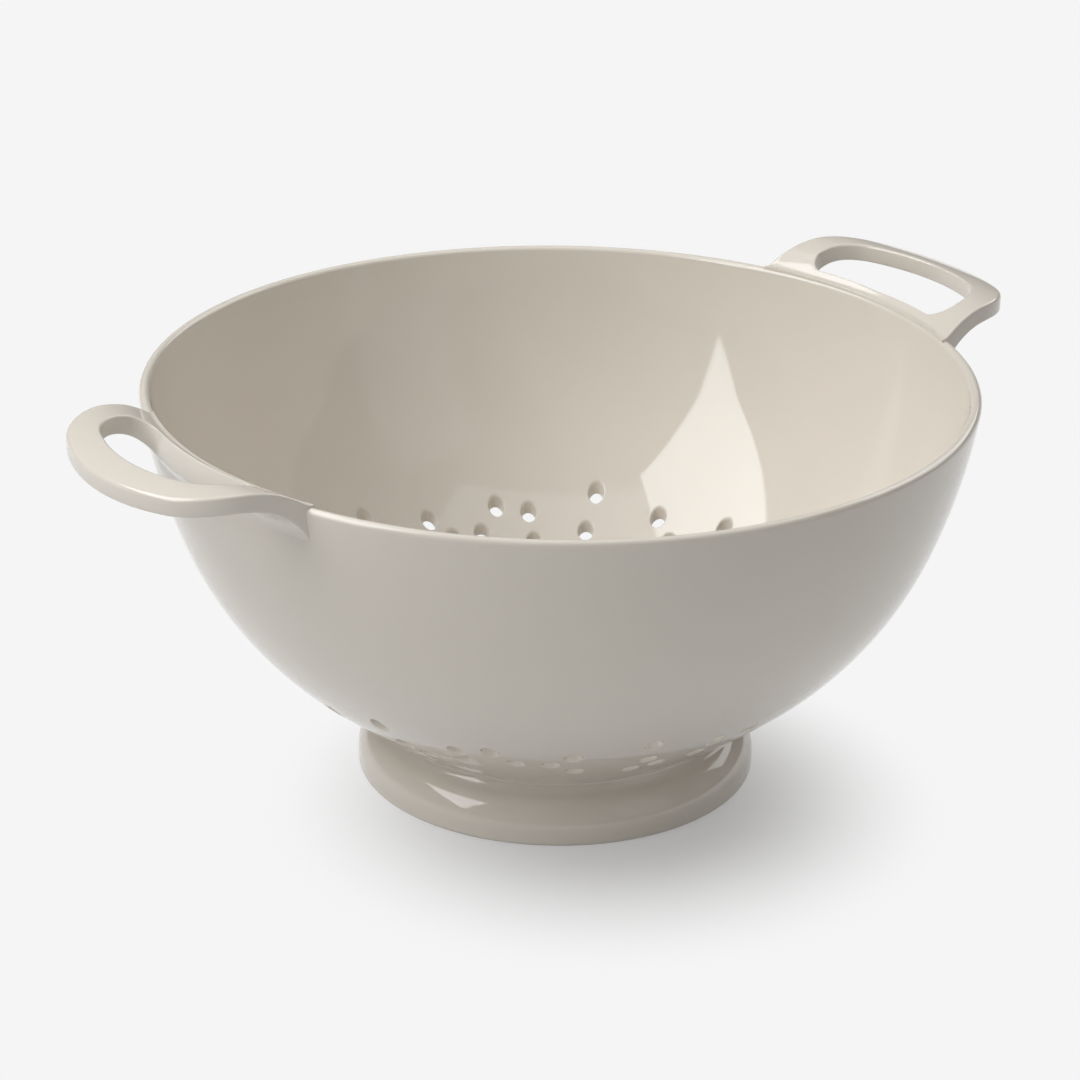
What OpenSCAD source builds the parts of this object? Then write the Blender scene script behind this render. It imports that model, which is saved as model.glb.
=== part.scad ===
// Colander moulded in melamine: a deep round bowl drained by a seven-fold pattern
// of upright holes, a foot ring under it and two raised loop handles on its rim.
// Millimetres. The origin is on the table under the middle of the foot ring, +Z is
// up, and the handles lie along X.

/* [Bowl] */
// Outer radius where the wall meets the rounded rim
rim_r = 125.2; // [120:0.2:135]
// Thickness of the bowl's wall, and of its fully rounded rim
wall = 3.2; // [2.6:0.1:3.8]
// Height of the bowl's flat underside above the table
floor_gap = 8.5; // [7.8:0.1:10]
// Lean of the wall from upright at the rim, in degrees
rim_lean = 7.866; // [6:0.001:10]
// Radius of the upper bend of the wall
side_bend_r = 179.6; // [170:0.2:190]
// Lean where the upper bend ends, in degrees
side_end_lean = 21.9782; // [21:0.0001:23]
// Radius of the belly's bend
belly_bend_r = 110.4; // [106:0.2:114]
// Lean where the belly's bend ends, in degrees
belly_end_lean = 50.5424; // [49:0.0001:52]
// Radius of the nearly straight part below the belly
lower_bend_r = 337.4; // [310:0.2:360]
// Lean where the nearly straight part ends, in degrees
lower_end_lean = 57.6122; // [57:0.0001:58]
// Radius of the bend that runs out into the flat floor
floor_bend_r = 29; // [26:0.5:32]

/* [Drain holes] */
// Diameter of a drain hole
hole_d = 5; // [3:0.1:6]
// Number of times that the pattern of holes repeats round the bowl
repeats = 7; // [5:1:8]
// Turn of the pattern from the handles' line, in degrees
pattern_turn = 45.2; // [0:0.2:51]

/* [Foot ring] */
// Outer radius of the foot ring at the table
foot_r = 61.4; // [58:0.2:62]
// Thickness of the foot ring's wall
foot_wall = 4; // [3:0.1:5]
// Radius of the shoulder's bend on the inside of the ring
shoulder_inner_r = 7; // [6:0.1:8]
// Lean of the ring's face between its shoulder and its neck, in degrees
shoulder_lean = 60.49; // [58:0.01:62]
// Radius of the hollow bend round the neck
neck_bend_r = 4.4; // [3.8:0.1:5]
// Height above the bowl's underside where the neck's bend would be upright
neck_run = 0.9; // [0.5:0.1:1.6]
// Rounding of the ring's bottom edges
foot_edge_r = 1; // [0.5:0.1:1.4]

/* [Handles] */
// Distance of a handle's outer end from the bowl's wall at the rim
handle_out = 32.3; // [28:0.1:36]
// Width of the handle's bar
bar_w = 9.7; // [8:0.1:11]
// Thickness of the bar at its crown
bar_t = 5.6; // [4.6:0.1:6.4]
// Height of the crown above the top of the rim
crown_rise = 7.6; // [6.5:0.1:8]
// Distance of the crown outside the bowl's wall
crown_out = 17.3; // [16:0.1:19]
// Radius of the top face's bend from the rim up to the crown
rise_bend_r = 28; // [27:0.1:30]
// Radius of the top face's bend from the crown to the tip
tip_bend_r = 44; // [38:1:60]
// Radius of the arch under the handle, next to the bowl
arch_bend_r = 20.5; // [20:0.1:21]
// Radius of the underside's bend from the crown to the tip
under_bend_r = 50; // [44:1:70]
// Radius of the handle's outer end, seen from above
end_bend_r = 70; // [64:1:76]
// Half of the angle that the outer end takes, in degrees
end_half_angle = 22; // [20.5:0.1:23]
// Radius of the handle's outer corners, seen from above
corner_bend_r = 23.7; // [21:0.1:26]
// Spread of the two arms towards the bowl, in degrees
arm_spread = 6.3; // [5:0.1:9]
// Thickness of the strip that joins the arms along the bowl's wall
strip_t = 1.1; // [1:0.1:2.5]
// Radius of the finger gap's corners next to the bowl
gap_corner_r = 6; // [4:0.5:8]
// Height of the handle's step on top of the rim
lap_t = 0.7; // [0.5:0.1:0.9]
// Width of the rim's outer part that the handle covers
lap_w = 2.6; // [1.8:0.1:3]

/* [Hidden] */
melamine = [0.85, 0.82, 0.77];
// Overrun of cuts past the faces that they go through
over = 1;
// Reach of a corner's rounding past the lines that it joins
crossing = 0.02;
$fn = 96;

// The bowl's outside is four bends that run into each other, from the flat floor
// up to the rim. Each leaves off at the next lean, and the rim's half round is last.
bend_rs = [floor_bend_r, lower_bend_r, belly_bend_r, side_bend_r, wall / 2];
leans = [90, lower_end_lean, belly_end_lean, side_end_lean, rim_lean];
bends = len(leans) - 1;
bowl_depth = sum_of([for (i = [0 : bends - 1]) bend_rs[i] * (sin(leans[i]) - sin(leans[i + 1]))]);
bowl_spread = sum_of([for (i = [0 : bends - 1]) bend_rs[i] * (cos(leans[i + 1]) - cos(leans[i]))]);
floor_r = rim_r - bowl_spread;
rim_top = floor_gap + bowl_depth + wall / 2 * (1 + sin(rim_lean));

// The foot ring in section: an upright band, the shoulder's bend and the neck's
// hollow bend, which meets the bowl in its nearly straight part
shoulder_r = shoulder_inner_r + foot_wall;
neck_r = foot_r - (shoulder_r + neck_bend_r) * (1 - cos(shoulder_lean));
lower_middle = [floor_r, floor_gap + floor_bend_r]
    + (lower_bend_r - floor_bend_r) * [-cos(lower_end_lean), sin(lower_end_lean)];
neck_z = lower_middle[1] - sqrt(lower_bend_r ^ 2 - (neck_r - lower_middle[0]) ^ 2);
band_h = neck_z + neck_run - (shoulder_r + neck_bend_r) * sin(shoulder_lean);

// Places of the drain holes in one repeat of the pattern: the share of the repeat's
// angle, then the share of the way from the foot ring's edge to the rim.
outer_hole_shares = [
    [0, 0.47], [0.28, 0.39], [0.415, 0.42], [0.72, 0.402],
    [0.027, 0.314], [0.265, 0.264], [0.5, 0.315], [0.638, 0.31],
    [0.74, 0.208], [0.095, 0.224], [0.995, 0.178]];
// The same inside the foot ring: the share of the angle, then the share of the way
// from the axis to the ring's inner face.
inner_hole_shares = [
    [0.04, 0.89], [0.35, 0.83], [0.66, 0.9], [0.87, 0.72], [0.16, 0.66],
    [0.51, 0.63], [0.82, 0.48], [0.27, 0.42], [0.58, 0.22]];

// A handle seen from above
handle_reach = rim_r + handle_out;
end_middle = handle_reach - end_bend_r;
corner_angle = 90 - arm_spread - end_half_angle;
gap_inner_r = rim_r + strip_t;

// A handle in section
crown_r = rim_r + crown_out;
crown_z = rim_top + crown_rise;

function sum_of(list, i = 0) = i < len(list) ? list[i] + sum_of(list, i + 1) : 0;

// A slice of a disc, from the X axis round to an angle below 90 degrees
module slice(r, angle) {
    intersection() {
        circle(r);
        square(r + over);
        rotate(angle)
            mirror([0, 1])
                square(r + over);
    }
}

// Puts a drawing at the middle of the bowl's bend of this number, with its X axis
// towards the lower end of the bend. The number after the last bend is the rim's.
module at_bend(i) {
    if (i == 0)
        translate([floor_r, floor_gap + bend_rs[0]])
            rotate(-90)
                children();
    else
        at_bend(i - 1)
            rotate(leans[i - 1] - leans[i])
                translate([bend_rs[i - 1] - bend_rs[i], 0])
                    children();
}

// The bowl's wall in section, with a half round on top of it
module bowl_section() {
    translate([0, floor_gap])
        square([floor_r, wall]);
    for (i = [0 : bends - 1])
        at_bend(i)
            difference() {
                slice(bend_rs[i], leans[i] - leans[i + 1]);
                circle(bend_rs[i] - wall);
            }
    at_bend(bends)
        intersection() {
            circle(wall / 2);
            translate([-wall, 0])
                square([2 * wall, wall]);
        }
}

module drain_holes(shares, from_r, to_r) {
    for (turn = [0 : repeats - 1], place = shares)
        rotate(pattern_turn + (turn + place[0]) * 360 / repeats)
            translate([from_r + place[1] * (to_r - from_r), 0, 0])
                cylinder(h = rim_top, d = hole_d);
}

module bowl() {
    color(melamine)
        difference() {
            rotate_extrude()
                bowl_section();
            drain_holes(outer_hole_shares, foot_r, rim_r);
            drain_holes(inner_hole_shares, 0, neck_r - foot_wall);
        }
}

// The foot ring's wall above its band: the shoulder's bend, then the neck's
module foot_slope() {
    translate([foot_r - shoulder_r, band_h]) {
        difference() {
            slice(shoulder_r, shoulder_lean);
            circle(shoulder_inner_r);
        }
        rotate(shoulder_lean)
            translate([shoulder_r + neck_bend_r, 0])
                mirror([1, 0])
                    difference() {
                        slice(neck_bend_r + foot_wall, shoulder_lean);
                        circle(neck_bend_r);
                    }
    }
}

// The ring stands on two rounded edges and ends on the bowl's underside
module foot_ring() {
    inner_r = foot_r - foot_wall;
    color(melamine)
        rotate_extrude()
            difference() {
                union() {
                    polygon([
                        [inner_r + foot_edge_r, 0],
                        [foot_r - foot_edge_r, 0],
                        [foot_r - foot_edge_r, foot_edge_r],
                        [foot_r, foot_edge_r],
                        [foot_r, band_h],
                        [inner_r, band_h],
                        [inner_r, foot_edge_r],
                        [inner_r + foot_edge_r, foot_edge_r]]);
                    for (x = [inner_r + foot_edge_r, foot_r - foot_edge_r])
                        translate([x, foot_edge_r])
                            circle(foot_edge_r);
                    foot_slope();
                }
                at_bend(0)
                    circle(floor_bend_r);
                at_bend(1)
                    slice(lower_bend_r, lower_end_lean - belly_end_lean);
            }
}

// Puts a drawing at the middle of a handle's corner seen from above, with its X
// axis towards the end of the outer face's bend
module at_corner() {
    translate([end_middle, 0])
        rotate(end_half_angle)
            translate([end_bend_r - corner_bend_r, 0])
                children();
}

// What a round corner of this radius leaves of a sharp one, from the X axis round
// to an angle. The round reaches past both lines a little, so that it crosses them.
module corner_waste(r, angle) {
    reach = 4 * (r + over);
    difference() {
        polygon([
            [0, 0],
            [reach, 0],
            reach * [cos(angle), sin(angle)]]);
        circle(r + crossing);
    }
}

// All that lies inwards of an arm's outer face, drawn in by an inset
module inside_arm(inset) {
    at_corner()
        rotate(corner_angle)
            translate([-end_bend_r, -end_bend_r])
                square([end_bend_r + corner_bend_r - inset, 2 * end_bend_r]);
}

// A handle's outline seen from above, drawn in by an inset all round
module handle_outline(inset) {
    difference() {
        intersection() {
            translate([end_middle, 0])
                circle(end_bend_r - inset);
            inside_arm(inset);
            mirror([0, 1])
                inside_arm(inset);
        }
        for (side = [0, 1])
            mirror([0, side])
                at_corner()
                    corner_waste(corner_bend_r - inset, corner_angle);
    }
}

// The finger gap seen from above: the outline drawn in by the bar's width, as far
// as the strip along the bowl, with rounded corners there
module finger_gap() {
    difference() {
        handle_outline(bar_w);
        circle(gap_inner_r, $fn = 360);
        for (side = [0, 1])
            mirror([0, side])
                gap_corner();
    }
}

// What a finger gap leaves of its corner between an arm and the strip
module gap_corner() {
    // The corner's middle is as far inside the arm's inner face as outside the
    // strip. Lengths along that face's direction and square to it give its turn.
    face_turn = 90 - arm_spread;
    face_out = corner_bend_r - bar_w + end_middle * cos(face_turn)
        + (end_bend_r - corner_bend_r) * cos(corner_angle);
    turn = face_turn - acos((face_out - gap_corner_r) / (gap_inner_r + gap_corner_r));
    rotate(turn)
        translate([gap_inner_r + gap_corner_r, 0])
            rotate(face_turn - turn)
                corner_waste(gap_corner_r, 180 - face_turn + turn);
}

// The handle's section from the rim to past its tip: it laps over the rim, rises
// to the crown and falls to the tip, with an arch under it that ends on the wall
module handle_section() {
    to_lap = crown_r - rim_r + lap_w;
    to_tip = handle_reach - crown_r + over;
    depth = bar_t + arch_bend_r;
    difference() {
        union() {
            translate([crown_r, crown_z]) {
                difference() {
                    intersection() {
                        translate([0, -rise_bend_r])
                            circle(rise_bend_r);
                        translate([-to_lap, -depth])
                            square([to_lap, depth + over]);
                    }
                    translate([0, -depth])
                        circle(arch_bend_r);
                }
                difference() {
                    intersection() {
                        translate([0, -tip_bend_r])
                            circle(tip_bend_r);
                        translate([0, -depth])
                            square([to_tip, depth + over]);
                    }
                    translate([0, -bar_t - under_bend_r])
                        circle(under_bend_r);
                }
            }
            translate([rim_r - lap_w, rim_top - wall / 2])
                square([lap_w, wall / 2 + lap_t]);
        }
        at_bend(bends - 1)
            slice(side_bend_r, side_end_lean - rim_lean);
        at_bend(bends)
            circle(wall / 2);
    }
}

module handle() {
    color(melamine)
        difference() {
            intersection() {
                rotate_extrude($fn = 180)
                    handle_section();
                linear_extrude(height = crown_z + over)
                    handle_outline(0);
            }
            linear_extrude(height = crown_z + over)
                finger_gap();
        }
}

module right_handle() {
    handle();
}

module left_handle() {
    rotate(180)
        handle();
}

bowl();
foot_ring();
right_handle();
left_handle();
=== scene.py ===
import math

import bpy
from mathutils import Matrix, Vector
from mathutils.geometry import delaunay_2d_cdt


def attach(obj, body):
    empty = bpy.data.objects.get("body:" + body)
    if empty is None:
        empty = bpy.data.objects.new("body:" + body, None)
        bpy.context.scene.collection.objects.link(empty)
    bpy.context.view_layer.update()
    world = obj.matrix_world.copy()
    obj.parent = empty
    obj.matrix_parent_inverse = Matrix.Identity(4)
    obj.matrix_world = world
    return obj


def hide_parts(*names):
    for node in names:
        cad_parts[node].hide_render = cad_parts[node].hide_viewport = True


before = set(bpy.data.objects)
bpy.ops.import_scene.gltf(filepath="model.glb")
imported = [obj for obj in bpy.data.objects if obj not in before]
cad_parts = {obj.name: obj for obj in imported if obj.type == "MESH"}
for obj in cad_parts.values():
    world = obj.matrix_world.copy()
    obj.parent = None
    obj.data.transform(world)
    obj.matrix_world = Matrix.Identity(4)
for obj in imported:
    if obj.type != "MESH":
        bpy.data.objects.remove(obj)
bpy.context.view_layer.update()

# Shapes are worked out in millimetres, and lights and the camera in metres.
MM = 0.001
QUARTER = math.pi / 2

# The bowl's section: four bends from the flat floor up to the rim, each between two
# leans from upright in degrees, and a half round on top.
WALL = 3.2
RIM_R = 125.2
FLOOR_GAP = 8.5
BEND_RS = [29.0, 337.4, 110.4, 179.6]
LEANS = [90.0, 57.6122, 50.5424, 21.9782, 7.866]
RIM_LEAN = math.radians(LEANS[-1])

# The drain holes: places in one repeat of the pattern, as shares of the repeat's angle
# and of the way from the foot ring to the rim, or from the axis to the ring's inside.
HOLE_R = 2.5
HOLE_EDGE = 0.6
REPEATS = 7
PATTERN_TURN = 45.2
OUTER_HOLE_SHARES = [
    (0, 0.47), (0.28, 0.39), (0.415, 0.42), (0.72, 0.402),
    (0.027, 0.314), (0.265, 0.264), (0.5, 0.315), (0.638, 0.31),
    (0.74, 0.208), (0.095, 0.224), (0.995, 0.178)]
INNER_HOLE_SHARES = [
    (0.04, 0.89), (0.35, 0.83), (0.66, 0.9), (0.87, 0.72), (0.16, 0.66),
    (0.51, 0.63), (0.82, 0.48), (0.27, 0.42), (0.58, 0.22)]

# The foot ring's section: an upright band, the shoulder's bend and the neck's hollow
# bend, which ends a little above the bowl's underside.
FOOT_R = 61.4
FOOT_WALL = 4.0
FOOT_EDGE_R = 1.0
SHOULDER_R = 11.0
SHOULDER_LEAN = math.radians(60.49)
NECK_BEND_R = 4.4
NECK_RUN = 0.9
NECK_R = FOOT_R - (SHOULDER_R + NECK_BEND_R) * (1 - math.cos(SHOULDER_LEAN))

# A handle seen from above: the bend of its outer end, its corners and its arms, which
# spread towards the bowl, and the strip between its gap and the rim.
REACH = 157.5
BAR_W = 9.7
END_R = 70.0
END_HALF = math.radians(22.0)
CORNER_R = 23.7
ARM_SPREAD = math.radians(6.3)
STRIP_T = 1.1
GAP_CORNER_R = 6.0
# A handle in section: its crown stands above and outside the rim, and its top and its
# underside each have one bend inside the crown and another outside it.
BAR_T = 5.6
CROWN_RISE = 7.6
CROWN_OUT = 17.3
CROWN_R = RIM_R + CROWN_OUT
RISE_R = 28.0
TIP_R = 44.0
ARCH_R = 20.5
UNDER_R = 50.0
# Where a handle laps over the rim, its top levels out and its edge sharpens.
LAP_T = 0.7
LAP_W = 2.6
LAP_R = RIM_R - LAP_W
LAP_BLEND = 0.5
LAP_RUN = 3.0
LAP_EDGE = 0.35
BAR_EDGE = 0.9

# The bowl's mesh. Inside the field its faces are triangles laid round the holes, and
# outside it they are rings, the first of them a margin further out.
FIELD_R = 96.0
FIELD_MARGIN = 0.6
FIELD_STEP = 2.6
SEGMENTS = 360
HOLE_SIDES = 28
# Rings of points round a hole: how far outside its lip each lies, and its points
LIP_RINGS = [(0.5, HOLE_SIDES), (1.3, 18)]
LIP_CLEARANCE = 2.2
BORDER_CLEARANCE = 0.4
# A triangle whose middle is within this share of a lip's radius is left out
HOLE_SHARE = 0.98
MERGE_DISTANCE = 1e-6
# Steps in the rounded lip of a hole, the wall's last two bends and the rim's half round
LIP_STEPS = 4
WALL_STEPS = {2: 10, 3: 22}
BEAD_STEPS = 14

# The foot ring's mesh: steps round it, and along each stretch of its section
FOOT_SEGMENTS = 288
BAND_STEPS = 5
FOOT_EDGE_STEPS = 6
SHOULDER_STEPS = 14
NECK_STEPS = 16

# A handle's mesh: steps along each stretch of its outlines, and round its section.
# The arm has long steps as far as the root's start, and short ones from there on.
END_STEPS = 22
CORNER_STEPS = 26
ARM_STEPS = 10
ROOT_START_SHARE = 0.42
ROOT_STEPS = 22
STRIP_STEPS = 40
EDGE_STEPS = 5
FACE_STEPS = 14


def lerp(a, b, t):
    return a + (b - a) * t


def arc(middle, radius, start, end, steps):
    points = []
    for k in range(steps + 1):
        a = lerp(start, end, k / steps)
        points.append((middle[0] + radius * math.cos(a), middle[1] + radius * math.sin(a)))
    return points


def circle(x, y, radius, count, start=0.0):
    """Points round a circle, from this share of a step round."""
    points = []
    for i in range(count):
        a = math.tau * (i + start) / count
        points.append(Vector((x + radius * math.cos(a), y + radius * math.sin(a))))
    return points


def band(last, ring):
    """The four-sided faces between two rings with as many points."""
    faces = []
    for i in range(len(ring)):
        j = (i + 1) % len(ring)
        faces.append((last[i], last[j], ring[j], ring[i]))
    return faces


def new_object(name, verts, faces, normals=None):
    mesh = bpy.data.meshes.new(name)
    mesh.from_pydata([Vector(v) * MM for v in verts], [], faces)
    mesh.update()
    mesh.shade_smooth()
    if normals:
        mesh.normals_split_custom_set_from_vertices([Vector(n).normalized() for n in normals])
    obj = bpy.data.objects.new(name, mesh)
    bpy.context.scene.collection.objects.link(obj)
    return obj


def bend_middles():
    """The middle of each of the bowl's bends, as (r, z)."""
    width = sum(
        radius * (math.cos(math.radians(end)) - math.cos(math.radians(start)))
        for radius, start, end in zip(BEND_RS, LEANS, LEANS[1:]))
    middles = [(RIM_R - width, FLOOR_GAP + BEND_RS[0])]
    for radius, after, lean in zip(BEND_RS, BEND_RS[1:], LEANS[1:]):
        r, z = middles[-1]
        step = radius - after
        middles.append((
            r + step * math.cos(math.radians(lean)), z - step * math.sin(math.radians(lean))))
    return middles


MIDDLES = bend_middles()
FLOOR_R = MIDDLES[0][0]


def wall_point(lean, bend, inset):
    """The point of a bend at a lean, on the outside or an inset's depth inside it."""
    radius = BEND_RS[bend] - inset
    return (
        MIDDLES[bend][0] + radius * math.cos(lean),
        MIDDLES[bend][1] - radius * math.sin(lean))


BEAD_MIDDLE = wall_point(RIM_LEAN, 3, WALL / 2)
RIM_TOP = BEAD_MIDDLE[1] + WALL / 2
CROWN_Z = RIM_TOP + CROWN_RISE


def wall_height(r, inset):
    """Height and slope (dz/dr) of the bowl's outside, or of its inside with the
    wall's thickness as the inset, at a distance r from the axis."""
    if r <= FLOOR_R:
        return FLOOR_GAP + inset, 0.0
    bend = 0
    while r > wall_point(math.radians(LEANS[bend + 1]), bend, inset)[0]:
        bend += 1
    middle_r, middle_z = MIDDLES[bend]
    radius = BEND_RS[bend] - inset
    drop = math.sqrt(radius ** 2 - (r - middle_r) ** 2)
    return middle_z - drop, (r - middle_r) / drop


def on_skin(x, y, inset, up):
    """Height and normal of the bowl's inside (up is 1) or outside (up is -1)."""
    r = math.hypot(x, y)
    z, slope = wall_height(r, inset)
    if slope == 0:
        return z, Vector((0, 0, up))
    return z, Vector((-up * slope * x / r, -up * slope * y / r, up)).normalized()


def hole_places():
    places = []
    fields = (
        (OUTER_HOLE_SHARES, FOOT_R, RIM_R),
        (INNER_HOLE_SHARES, 0, NECK_R - FOOT_WALL))
    for turn in range(REPEATS):
        for shares, low, high in fields:
            for share, out in shares:
                angle = math.radians(PATTERN_TURN + (turn + share) * 360 / REPEATS)
                r = low + out * (high - low)
                places.append((r * math.cos(angle), r * math.sin(angle)))
    return places


def clear_of(holes, p, distance):
    """Whether a point is more than a distance from the middle of every hole."""
    return all((p.x - x) ** 2 + (p.y - y) ** 2 > distance ** 2 for x, y in holes)


def field_plan(holes):
    """The field with holes seen from above: its points, its triangles, and the points
    of its border and of each hole's lip."""
    lip_r = HOLE_R + HOLE_EDGE
    points = circle(0, 0, FIELD_R, SEGMENTS)
    outlines = [range(SEGMENTS)]
    for x, y in holes:
        outlines.append(range(len(points), len(points) + HOLE_SIDES))
        points += circle(x, y, lip_r, HOLE_SIDES)
        for out, count in LIP_RINGS:
            ring = circle(x, y, lip_r + out, count, 0.5)
            points += [p for p in ring if p.length < FIELD_R - BORDER_CLEARANCE]
    rows = int(FIELD_R / FIELD_STEP)
    for row in range(rows):
        r = row * FIELD_R / rows
        count = max(1, int(math.tau * r / FIELD_STEP))
        ring = circle(0, 0, r, count, row % 2 / 2)
        points += [p for p in ring if clear_of(holes, p, lip_r + LIP_CLEARANCE)]
    edges = [
        (line[i], line[(i + 1) % len(line)]) for line in outlines for i in range(len(line))]
    points, _, triangles, origins, _, _ = delaunay_2d_cdt(points, edges, [], 0, MERGE_DISTANCE)
    kept = []
    for triangle in triangles:
        middle = (points[triangle[0]] + points[triangle[1]] + points[triangle[2]]) / 3
        if middle.length < FIELD_R and clear_of(holes, middle, lip_r * HOLE_SHARE):
            kept.append(triangle)
    place_of = {source: i for i, sources in enumerate(origins) for source in sources}
    border, *lips = [[place_of[i] for i in line] for line in outlines]
    return points, kept, border, lips


def lip_rings(hole, inset, up):
    """The rings of a hole's rounded lip, from the first below the bowl's skin to the
    top of the hole's wall: each a list of points and their normals."""
    rings = []
    for k in range(1, LIP_STEPS + 1):
        turn = QUARTER * k / LIP_STEPS
        out = HOLE_R + HOLE_EDGE * (1 - math.sin(turn))
        drop = HOLE_EDGE * (1 - math.cos(turn))
        ring = []
        for i in range(HOLE_SIDES):
            a = math.tau * i / HOLE_SIDES
            x = hole[0] + out * math.cos(a)
            y = hole[1] + out * math.sin(a)
            z, flat = on_skin(x, y, inset, up)
            wall = Vector((-math.cos(a), -math.sin(a), 0))
            normal = flat * math.cos(turn) + wall * math.sin(turn)
            ring.append(((x, y, z - up * drop), normal))
        rings.append(ring)
    return rings


def wall_rows():
    """The section from the outside of the field up, over the rim and down the inside:
    the (r, z) of each point and of its normal."""
    sides = []
    for inset, sign in ((0.0, 1), (WALL, -1)):
        side = []
        for bend, steps in WALL_STEPS.items():
            for k in range(1, steps + 1):
                lean = math.radians(lerp(LEANS[bend], LEANS[bend + 1], k / steps))
                r, z = wall_point(lean, bend, inset)
                if r > FIELD_R + FIELD_MARGIN:
                    side.append((r, z, sign * math.cos(lean), -sign * math.sin(lean)))
        sides.append(side)
    bead = []
    for k in range(1, BEAD_STEPS):
        a = lerp(-RIM_LEAN, math.pi - RIM_LEAN, k / BEAD_STEPS)
        nr, nz = math.cos(a), math.sin(a)
        bead.append((BEAD_MIDDLE[0] + WALL / 2 * nr, BEAD_MIDDLE[1] + WALL / 2 * nz, nr, nz))
    return sides[0] + bead + sides[1][::-1]


def build_bowl():
    holes = hole_places()
    plan, triangles, border, lips = field_plan(holes)
    verts, normals, faces = [], [], []

    def add_ring(points):
        """Adds points and their normals, and gives their places in the mesh."""
        for point, normal in points:
            verts.append(point)
            normals.append(normal)
        return range(len(verts) - len(points), len(verts))

    borders, throats = [], []
    for inset, up in ((WALL, 1), (0.0, -1)):
        base = len(verts)
        for p in plan:
            z, normal = on_skin(p.x, p.y, inset, up)
            add_ring([((p.x, p.y, z), normal)])
        order = (0, 1, 2) if up > 0 else (0, 2, 1)
        faces += [[base + triangle[i] for i in order] for triangle in triangles]
        borders.append([base + i for i in border])
        side_throats = []
        for hole, lip in zip(holes, lips):
            last = [base + i for i in lip]
            for points in lip_rings(hole, inset, up):
                ring = add_ring(points)
                faces += band(last, ring) if up > 0 else band(ring, last)
                last = ring
            side_throats.append(last)
        throats.append(side_throats)
    for top, bottom in zip(*throats):
        faces += band(top, bottom)
    inner_border, last = borders
    for r, z, nr, nz in wall_rows():
        points = []
        for i in range(SEGMENTS):
            a = math.tau * i / SEGMENTS
            c, s = math.cos(a), math.sin(a)
            points.append(((r * c, r * s, z), (nr * c, nr * s, nz)))
        ring = add_ring(points)
        faces += band(last, ring)
        last = ring
    faces += band(last, inner_border)
    return new_object("bowl_shell", verts, faces, normals)


def foot_section():
    """The foot ring's section as (r, z), once round from its lower outer edge."""
    inner_r = FOOT_R - FOOT_WALL
    neck_z, _ = wall_height(NECK_R, 0.0)
    reach = SHOULDER_R + NECK_BEND_R
    band_h = neck_z + NECK_RUN - reach * math.sin(SHOULDER_LEAN)
    shoulder = (FOOT_R - SHOULDER_R, band_h)
    neck = (
        shoulder[0] + reach * math.cos(SHOULDER_LEAN),
        shoulder[1] + reach * math.sin(SHOULDER_LEAN))

    def slope(inset):
        """The shoulder and the neck, on the outside or an inset's depth inside it."""
        neck_arc = arc(neck, NECK_BEND_R + inset, math.pi + SHOULDER_LEAN, math.pi, NECK_STEPS)
        return arc(shoulder, SHOULDER_R - inset, 0, SHOULDER_LEAN, SHOULDER_STEPS) + neck_arc[1:]

    def edge(r, start):
        return arc((r, FOOT_EDGE_R), FOOT_EDGE_R, start, start + QUARTER, FOOT_EDGE_STEPS)

    def upright(r, start, end):
        return [(r, lerp(start, end, k / BAND_STEPS)) for k in range(1, BAND_STEPS)]

    outer = edge(FOOT_R - FOOT_EDGE_R, -QUARTER) + upright(FOOT_R, FOOT_EDGE_R, band_h)
    inner = upright(inner_r, band_h, FOOT_EDGE_R) + edge(inner_r + FOOT_EDGE_R, 2 * QUARTER)
    return outer + slope(0.0) + slope(FOOT_WALL)[::-1] + inner


def build_foot():
    verts, rings = [], []
    for r, z in foot_section():
        rings.append(range(len(verts), len(verts) + FOOT_SEGMENTS))
        for i in range(FOOT_SEGMENTS):
            a = math.tau * i / FOOT_SEGMENTS
            verts.append((r * math.cos(a), r * math.sin(a), z))
    faces = []
    for last, ring in zip(rings, rings[1:] + rings[:1]):
        faces += band(last, ring)
    return new_object("foot_ring_shell", verts, faces)


def handle_top(r):
    """Height of a handle's top face at a distance r from the bowl's axis: the larger
    of its raised top and its lap, with a blend between them."""
    bend = TIP_R if r > CROWN_R else RISE_R
    top = CROWN_Z - bend + math.sqrt(bend ** 2 - (r - CROWN_R) ** 2)
    lap = RIM_TOP + LAP_T
    return (top + lap + math.hypot(top - lap, LAP_BLEND)) / 2


def handle_under(r):
    bend = UNDER_R if r > CROWN_R else ARCH_R
    return CROWN_Z - BAR_T - bend + math.sqrt(bend ** 2 - (r - CROWN_R) ** 2)


def half_outline(inset):
    """Half of a handle's outline seen from above, from the middle of the outer end
    to the end of the corner, then the arm's direction towards the bowl."""
    end_x = REACH - END_R
    corner = Vector((
        end_x + (END_R - CORNER_R) * math.cos(END_HALF), (END_R - CORNER_R) * math.sin(END_HALF)))
    arm_turn = QUARTER - ARM_SPREAD
    points = arc((end_x, 0), END_R - inset, 0, END_HALF, END_STEPS)
    points += arc(corner, CORNER_R - inset, END_HALF, arm_turn, CORNER_STEPS)[1:]
    return [Vector(p) for p in points], Vector((-math.sin(arm_turn), math.cos(arm_turn)))


def to_circle(start, direction, radius):
    """Length from a point along a direction to the circle of this radius."""
    b = start.dot(direction)
    return -b - math.sqrt(b * b - start.length_squared + radius * radius)


def spaced(a, b, steps):
    return [a.lerp(b, k / steps) for k in range(1, steps + 1)]


def later_arc(middle, radius, start, end, steps):
    """An arc without its first point, as vectors."""
    return [Vector(p) for p in arc(middle, radius, start, end, steps)[1:]]


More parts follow.
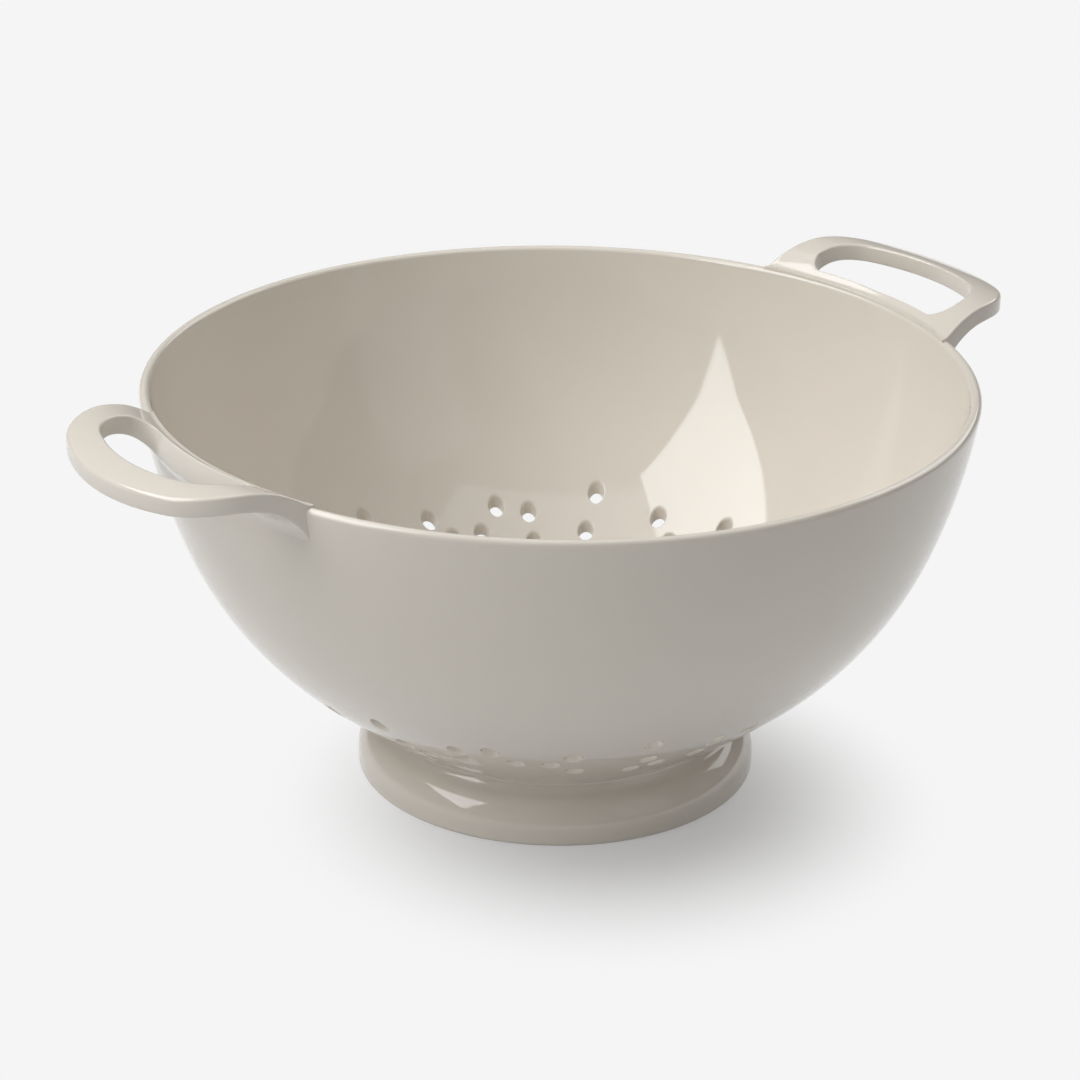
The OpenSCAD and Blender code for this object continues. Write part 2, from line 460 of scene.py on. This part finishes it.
def handle_outlines():
    """Matching points of a handle's outer and inner outlines, once round."""
    outer, along = half_outline(0.0)
    inner, _ = half_outline(BAR_W)
    gap_r = RIM_R + STRIP_T
    # The rounded corner of the gap lies against the arm's face and the strip
    across = Vector((along.y, -along.x))
    face_out = inner[-1].dot(across)
    face_turn = math.atan2(across.y, across.x)
    turn = face_turn - math.acos((face_out - GAP_CORNER_R) / (gap_r + GAP_CORNER_R))
    round_at = Vector((math.cos(turn), math.sin(turn))) * (gap_r + GAP_CORNER_R)
    face_end = round_at + across * GAP_CORNER_R
    arm_end = outer[-1] + along * to_circle(outer[-1], along, LAP_R)
    root_start = outer[-1].lerp(arm_end, ROOT_START_SHARE)
    root_turn = math.atan2(arm_end.y, arm_end.x)
    outer += spaced(outer[-1], root_start, ARM_STEPS)
    outer += spaced(root_start, arm_end, ROOT_STEPS)
    outer += later_arc((0, 0), LAP_R, root_turn, 0, STRIP_STEPS)
    inner += spaced(inner[-1], face_end, ARM_STEPS)
    inner += later_arc(round_at, GAP_CORNER_R, face_turn, turn + math.pi, ROOT_STEPS)
    inner += later_arc((0, 0), gap_r, turn, 0, STRIP_STEPS)
    for line in (outer, inner):
        line += [Vector((p.x, -p.y)) for p in line[-2:0:-1]]
    return zip(outer, inner)


def smooth_step(t):
    t = min(max(t, 0.0), 1.0)
    return t * t * (3 - 2 * t)


def rounded_edge(radius):
    """A quarter round from a face to its side: how far in from the side each point
    lies, and how far below the face."""
    turns = [QUARTER * k / EDGE_STEPS for k in range(EDGE_STEPS + 1)]
    return [(radius * (1 - math.sin(turn)), radius * (1 - math.cos(turn))) for turn in turns]


def handle_section(outer, inner):
    """A handle's section between matching points of its outlines, once round."""
    width = (inner - outer).length
    line = (inner - outer) / width
    edge = lerp(LAP_EDGE, BAR_EDGE, smooth_step((outer.length - LAP_R) / LAP_RUN))
    near = rounded_edge(edge)[::-1]
    flat = [(lerp(edge, width - BAR_EDGE, k / FACE_STEPS), 0.0) for k in range(1, FACE_STEPS)]
    far = [(width - out, drop) for out, drop in rounded_edge(BAR_EDGE)]
    top, under = [], []
    for out, drop in near + flat + far:
        p = outer + line * out
        top.append((p.x, p.y, handle_top(p.length) - drop))
        under.append((p.x, p.y, handle_under(p.length) + drop))
    return top + under[::-1]


def build_handle(name, turned):
    sections = [handle_section(outer, inner) for outer, inner in handle_outlines()]
    verts = [point for section in sections for point in section]
    count = len(sections[0])
    faces = []
    for s in range(len(sections)):
        a, b = s * count, (s + 1) % len(sections) * count
        for k in range(count):
            m = (k + 1) % count
            faces.append((a + k, b + k, b + m, a + m))
    if turned:
        verts = [(-x, -y, z) for x, y, z in verts]
    return new_object(name, verts, faces)


# The melamine: two close tones in slow clouds, and a greyer one where it is worn
TONES = [(0.3, (0.655, 0.603, 0.53, 1)), (0.7, (0.69, 0.638, 0.565, 1))]
WORN_TONE = (0.60, 0.56, 0.50, 1)
# Its gloss: roughness between these two, and more by this much where it is worn
ROUGHNESS = (0.04, 0.065)
WORN_ROUGHNESS = 0.12
MELAMINE_IOR = 1.55
# How far the moulded skin ripples, in metres, and how much of it shows
RIPPLE_DEPTH = 0.001
RIPPLE_STRENGTH = 0.05
# Each noise: its scale, per metre, and its detail
CLOUDS = (9.0, 3.0)
SCUFFS = (160.0, 4.0)
HAZE = (35.0, 2.0)
RIPPLES = (28.0, 1.0)
# Where wear starts and is full: on pointed edges, and in the scuffs' noise
EDGE_WEAR = (0.53, 0.62)
SCUFF_WEAR = (0.52, 0.75)
HAZE_SPAN = (0.3, 0.7)


def new_material(name):
    material = bpy.data.materials.new(name)
    material.use_nodes = True
    return material, material.node_tree.nodes, material.node_tree.links


def map_range(nodes, links, value, span, onto=(0.0, 1.0), kind="LINEAR"):
    """The output of a node that maps a value's span onto another one."""
    node = nodes.new("ShaderNodeMapRange")
    node.interpolation_type = kind
    node.inputs["From Min"].default_value, node.inputs["From Max"].default_value = span
    node.inputs["To Min"].default_value, node.inputs["To Max"].default_value = onto
    links.new(value, node.inputs["Value"])
    return node.outputs["Result"]


def math_node(nodes, links, operation, *values):
    """The output of a node that works on values, each a number or an output."""
    node = nodes.new("ShaderNodeMath")
    node.operation = operation
    for place, value in enumerate(values):
        if isinstance(value, float):
            node.inputs[place].default_value = value
        else:
            links.new(value, node.inputs[place])
    return node.outputs["Value"]


def melamine():
    """Glossy warm pale melamine: a faint cloudiness in the colour, a slight waviness
    of the moulded skin, and fine scuffs where it is handled and stood on."""
    material, nodes, links = new_material("melamine")
    shader = nodes["Principled BSDF"]
    shader.inputs["IOR"].default_value = MELAMINE_IOR
    coords = nodes.new("ShaderNodeTexCoord")

    def noise(scale, detail):
        node = nodes.new("ShaderNodeTexNoise")
        node.inputs["Scale"].default_value = scale
        node.inputs["Detail"].default_value = detail
        links.new(coords.outputs["Object"], node.inputs["Vector"])
        return node.outputs["Fac"]

    ramp = nodes.new("ShaderNodeValToRGB")
    for element, (position, tone) in zip(ramp.color_ramp.elements, TONES):
        element.position = position
        element.color = tone
    links.new(noise(*CLOUDS), ramp.inputs["Fac"])
    # Wear: a little greyer and duller on the rim, the crowns and the foot's edge
    geometry = nodes.new("ShaderNodeNewGeometry")
    edge = map_range(nodes, links, geometry.outputs["Pointiness"], EDGE_WEAR)
    scuff = map_range(nodes, links, noise(*SCUFFS), SCUFF_WEAR)
    wear = math_node(nodes, links, "MULTIPLY", edge, scuff)
    colour = nodes.new("ShaderNodeMix")
    colour.data_type = "RGBA"
    colour.inputs["B"].default_value = WORN_TONE
    links.new(wear, colour.inputs["Factor"])
    links.new(ramp.outputs["Color"], colour.inputs["A"])
    links.new(colour.outputs["Result"], shader.inputs["Base Color"])
    rough = map_range(nodes, links, noise(*HAZE), HAZE_SPAN, ROUGHNESS)
    rough = math_node(nodes, links, "MULTIPLY_ADD", wear, WORN_ROUGHNESS, rough)
    links.new(rough, shader.inputs["Roughness"])
    bump = nodes.new("ShaderNodeBump")
    bump.inputs["Strength"].default_value = RIPPLE_STRENGTH
    bump.inputs["Distance"].default_value = RIPPLE_DEPTH
    links.new(noise(*RIPPLES), bump.inputs["Height"])
    links.new(bump.outputs["Normal"], shader.inputs["Normal"])
    return material


# The part's own frame is turned by this from the camera's, in which the Y axis runs
# away from the camera. The camera, the lamps and the shadow's middle are given in the
# camera's frame.
PART_TURN = Matrix.Rotation(math.radians(-36.64), 4, "Z")

# The camera stands where the photograph's did. Its focal length is in pixels of the
# photograph's frame.
CAMERA_AT = (-0.0055, -0.9519, 0.4822)
CAMERA_PITCH = 0.40636
CAMERA_ROLL = -0.01165
FOCAL_PIXELS = 3400
FRAME_PIXELS = 1080
SENSOR = 36
CLIP_END = 50

# The plain white of the floor and the room, as the camera sees them
WHITE = (0.913, 0.913, 0.913, 1)
FLOOR_SIZE = 12
# The floor shows its shadow near this place, and turns plain white between these
# distances from it. At the place itself this share of the plain white is left.
SHADOW_AT = (0.014, -0.03, 0.0)
SHADOW_FADE = (0.035, 0.108)
LEAST_WHITE = 0.25
# The white sheet under the colander ends in the darker floor of the room
SHEET_END = (0.2, 0.7)
SHEET_TONES = (0.72, 0.3)

# The outline of the big lamp to the left, in millimetres, from its reflection in the
# bowl, and its colour and strength
KEY_CORNERS = [
    (-1069, -876, 329), (-538, -615, 1169), (-685, 1135, 1829), (-1016, 1014, 1325)]
KEY_COLOUR = (0.97, 0.985, 1.0, 1)
KEY_STRENGTH = 4.7
ROOM_STRENGTH = 0.1
BOWL_MIDDLE = (0, 0, 0.1)
FOOT_MIDDLE = (0, 0, 0)
# The soft lamps: name, place, what it faces, size, power, and whether gloss shows it
SOFTBOXES = [
    ("side", (0.87, -0.68, 0.55), BOWL_MIDDLE, (0.65, 0.9), 0.7, True),
    ("back", (1.0, 1.0, 1.0), BOWL_MIDDLE, (1.2, 0.9), 7, True),
    ("top", (0, 0.2, 2.2), BOWL_MIDDLE, (2.6, 2.6), 17, True),
    ("front", (0.1, -1.3, 0.62), FOOT_MIDDLE, (1.1, 0.3), 2.4, False)]


def place_camera():
    up = Vector((0, math.sin(CAMERA_PITCH), math.cos(CAMERA_PITCH)))
    right = Vector((1, 0, 0))
    cos, sin = math.cos(CAMERA_ROLL), math.sin(CAMERA_ROLL)
    x_axis = right * cos - up * sin
    y_axis = right * sin + up * cos
    z_axis = x_axis.cross(y_axis)
    pose = Matrix((x_axis, y_axis, z_axis)).transposed().to_4x4()
    data = bpy.data.cameras.new("camera")
    data.lens = FOCAL_PIXELS / FRAME_PIXELS * SENSOR
    data.sensor_width = SENSOR
    data.clip_end = CLIP_END
    camera = bpy.data.objects.new("camera", data)
    bpy.context.scene.collection.objects.link(camera)
    camera.matrix_world = PART_TURN @ Matrix.Translation(CAMERA_AT) @ pose
    bpy.context.scene.camera = camera


def glow_node(nodes, colour, strength=1.0):
    glow = nodes.new("ShaderNodeEmission")
    glow.inputs["Color"].default_value = colour
    glow.inputs["Strength"].default_value = strength
    return glow.outputs["Emission"]


def build_floor():
    bpy.ops.mesh.primitive_plane_add(size=FLOOR_SIZE)
    floor = bpy.context.object
    floor.name = "floor"
    material, nodes, links = new_material("floor_white")
    nodes.remove(nodes["Principled BSDF"])
    place = nodes.new("ShaderNodeNewGeometry")
    away = nodes.new("ShaderNodeVectorMath")
    away.operation = "DISTANCE"
    away.inputs[1].default_value = PART_TURN @ Vector(SHADOW_AT)
    links.new(place.outputs["Position"], away.inputs[0])
    distance = away.outputs["Value"]
    path = nodes.new("ShaderNodeLightPath")
    seen = math_node(
        nodes, links, "MAXIMUM", path.outputs["Is Camera Ray"], path.outputs["Is Glossy Ray"])
    white = map_range(nodes, links, distance, SHADOW_FADE, (LEAST_WHITE, 1.0), "SMOOTHSTEP")
    plain = nodes.new("ShaderNodeBsdfDiffuse")
    tone = map_range(nodes, links, distance, SHEET_END, SHEET_TONES)
    links.new(tone, plain.inputs["Color"])
    mix = nodes.new("ShaderNodeMixShader")
    links.new(math_node(nodes, links, "MULTIPLY", seen, white), mix.inputs["Fac"])
    links.new(plain.outputs["BSDF"], mix.inputs[1])
    links.new(glow_node(nodes, WHITE), mix.inputs[2])
    links.new(mix.outputs["Shader"], nodes["Material Output"].inputs["Surface"])
    floor.data.materials.append(material)


def softbox(name, at, aim, size, power, in_gloss):
    """A flat soft lamp at a place, in metres, that faces a point."""
    data = bpy.data.lights.new(name, "AREA")
    data.shape = "RECTANGLE"
    data.size, data.size_y = size
    data.energy = power
    lamp = bpy.data.objects.new(name, data)
    bpy.context.scene.collection.objects.link(lamp)
    facing = (Vector(aim) - Vector(at)).to_track_quat("-Z", "Y").to_matrix().to_4x4()
    lamp.matrix_world = PART_TURN @ Matrix.Translation(at) @ facing
    lamp.visible_glossy = in_gloss


def key_panel():
    """The big flat lamp, given by its four corners."""
    panel = new_object("key", [PART_TURN @ Vector(p) for p in KEY_CORNERS], [(0, 1, 2, 3)])
    material, nodes, links = new_material("key")
    nodes.remove(nodes["Principled BSDF"])
    glow = glow_node(nodes, KEY_COLOUR, KEY_STRENGTH)
    links.new(glow, nodes["Material Output"].inputs["Surface"])
    panel.data.materials.append(material)


def light_room():
    """A dim even room, which the camera sees as plain white."""
    world = bpy.data.worlds.new("studio")
    bpy.context.scene.world = world
    world.use_nodes = True
    nodes, links = world.node_tree.nodes, world.node_tree.links
    soft = nodes["Background"]
    soft.inputs["Color"].default_value = (1, 1, 1, 1)
    soft.inputs["Strength"].default_value = ROOM_STRENGTH
    white = nodes.new("ShaderNodeBackground")
    white.inputs["Color"].default_value = WHITE
    path = nodes.new("ShaderNodeLightPath")
    mix = nodes.new("ShaderNodeMixShader")
    links.new(path.outputs["Is Camera Ray"], mix.inputs["Fac"])
    links.new(soft.outputs["Background"], mix.inputs[1])
    links.new(white.outputs["Background"], mix.inputs[2])
    links.new(mix.outputs["Shader"], nodes["World Output"].inputs["Surface"])


bpy.context.scene.view_settings.view_transform = "Standard"
place_camera()
build_floor()
light_room()
key_panel()
for lamp in SOFTBOXES:
    softbox(*lamp)

finish = melamine()
pieces = [
    (build_bowl(), "bowl"),
    (build_foot(), "foot_ring"),
    (build_handle("right_handle_loop", False), "right_handle"),
    (build_handle("left_handle_loop", True), "left_handle"),
]
for piece, node in pieces:
    piece.data.materials.append(finish)
    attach(piece, "root")
    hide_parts(node)
